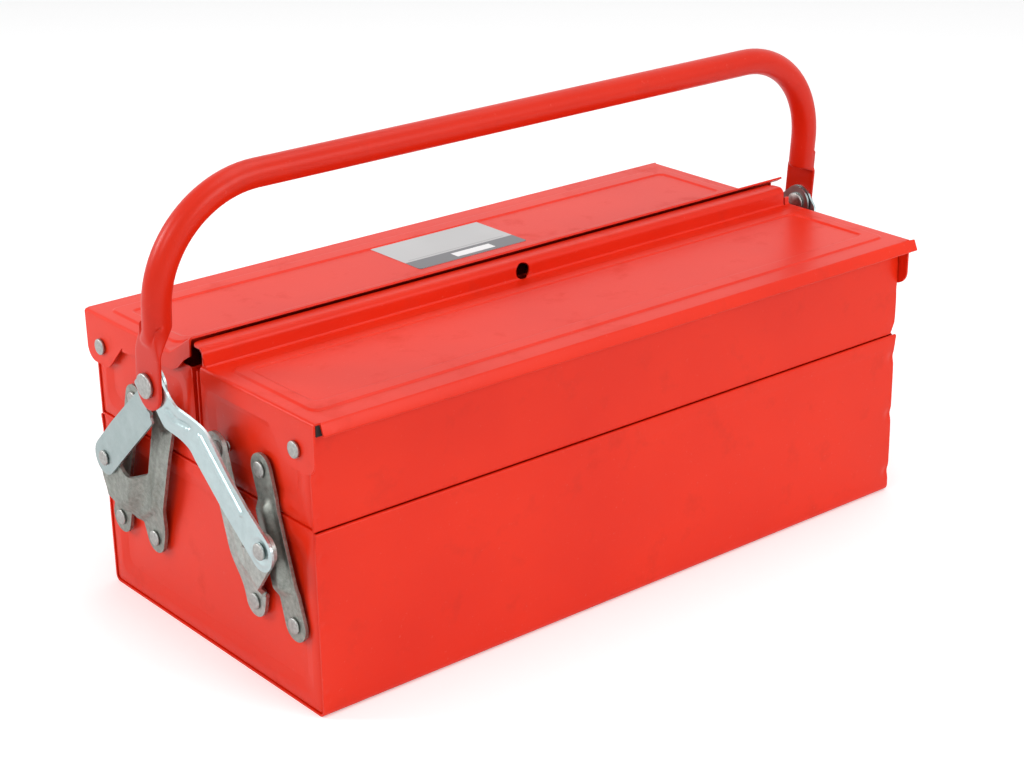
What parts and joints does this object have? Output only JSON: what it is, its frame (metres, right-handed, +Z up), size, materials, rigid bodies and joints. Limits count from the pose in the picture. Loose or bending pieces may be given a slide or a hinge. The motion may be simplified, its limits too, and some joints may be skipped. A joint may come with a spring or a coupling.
{
  "type": "cantilever tool box",
  "caption": "Sheet steel tool box whose lidded trays swing apart on riveted links as the tube handle between them is lowered.",
  "frame": {"origin": "on the floor, under the middle of the box's base", "axes": "+X along the box to the right end, -Y out of the front, +Z up"},
  "size_m": [0.479, 0.2238, 0.2642],
  "materials": {
    "paint": "semi-gloss red enamel",
    "zinc": "bright zinc plate",
    "steel": "dull zinc plate",
    "label": "matt film"
  },
  "bodies": {
    "base": {"base_body": "paint", "base_end_left": "paint", "base_end_right": "paint", "base_rivets": "zinc", "base_spacers": "steel"},
    "front_cranks": {"front_crank_left": "steel", "front_crank_right": "steel", "front_arm_rivets": "zinc"},
    "front_links": {"front_link_left": "steel", "front_link_right": "steel"},
    "front_tray": {"front_tray_body": "paint", "front_tray_end_left": "paint", "front_tray_end_right": "paint", "front_tray_rivets": "zinc", "front_tray_spacers": "steel", "front_lid_rivets": "zinc", "front_lid_washers": "steel"},
    "front_lid": {"front_lid": "paint"},
    "front_arms": {"front_arm_left": "zinc", "front_arm_right": "zinc"},
    "back_cranks": {"back_crank_left": "steel", "back_crank_right": "steel", "back_arm_rivets": "zinc"},
    "back_links": {"back_link_left": "steel", "back_link_right": "steel"},
    "back_tray": {"back_tray_body": "paint", "back_tray_end_left": "paint", "back_tray_end_right": "paint", "back_tray_rivets": "zinc", "back_tray_spacers": "steel", "back_lid_rivets": "zinc", "back_lid_washers": "steel"},
    "back_lid": {"back_lid": "paint", "lid_label": "label"},
    "back_arms": {"back_arm_left": "zinc", "back_arm_right": "zinc"},
    "handle": {"handle": "paint", "handle_rivet_left": "zinc", "handle_rivet_right": "zinc"}
  },
  "joints": [
    {"name": "open", "type": "hinge", "parent": "base", "child": "front_cranks", "pos_m": [0, -0.0491, 0.0466], "axis": [1, 0, 0], "range_deg": [0, 34]},
    {"name": "front_link_turn", "type": "hinge", "parent": "base", "child": "front_links", "pos_m": [0, -0.0849, 0.0466], "axis": [1, 0, 0], "range_deg": [0, 34]},
    {"name": "front_tray_turn", "type": "hinge", "parent": "front_cranks", "child": "front_tray", "pos_m": [0, -0.0252, 0.124], "axis": [1, 0, 0], "range_deg": [-34, 0]},
    {"name": "front_arm_turn", "type": "hinge", "parent": "front_cranks", "child": "front_arms", "pos_m": [0, -0.07632, 0.0886], "axis": [1, 0, 0], "range_deg": [-54.4, 0]},
    {"name": "front_lid_turn", "type": "hinge", "parent": "front_tray", "child": "front_lid", "pos_m": [0, -0.0928, 0.1451], "axis": [1, 0, 0], "range_deg": [0, 92]},
    {"name": "back_crank_turn", "type": "hinge", "parent": "base", "child": "back_cranks", "pos_m": [0, 0.0491, 0.0466], "axis": [-1, 0, 0], "range_deg": [0, 34]},
    {"name": "back_link_turn", "type": "hinge", "parent": "base", "child": "back_links", "pos_m": [0, 0.0849, 0.0466], "axis": [-1, 0, 0], "range_deg": [0, 34]},
    {"name": "back_tray_turn", "type": "hinge", "parent": "back_cranks", "child": "back_tray", "pos_m": [0, 0.0252, 0.124], "axis": [-1, 0, 0], "range_deg": [-34, 0]},
    {"name": "back_arm_turn", "type": "hinge", "parent": "back_cranks", "child": "back_arms", "pos_m": [0, 0.07632, 0.0886], "axis": [-1, 0, 0], "range_deg": [-54.4, 0]},
    {"name": "back_lid_turn", "type": "hinge", "parent": "back_tray", "child": "back_lid", "pos_m": [0, 0.0928, 0.1451], "axis": [-1, 0, 0], "range_deg": [0, 92]},
    {"name": "handle_swing", "type": "hinge", "parent": "front_arms", "child": "handle", "pos_m": [0, 0, 0.15702], "axis": [1, 0, 0], "range_deg": [-11, 43]}
  ],
  "couplings": [
    {"joint": "front_link_turn", "follows": "open", "ratio": 1},
    {"joint": "front_tray_turn", "follows": "open", "ratio": -1},
    {"joint": "front_arm_turn", "follows": "open", "ratio": -1.5987},
    {"joint": "back_crank_turn", "follows": "open", "ratio": 1},
    {"joint": "back_link_turn", "follows": "open", "ratio": 1},
    {"joint": "back_tray_turn", "follows": "open", "ratio": -1},
    {"joint": "back_arm_turn", "follows": "open", "ratio": -1.5987}
  ]
}
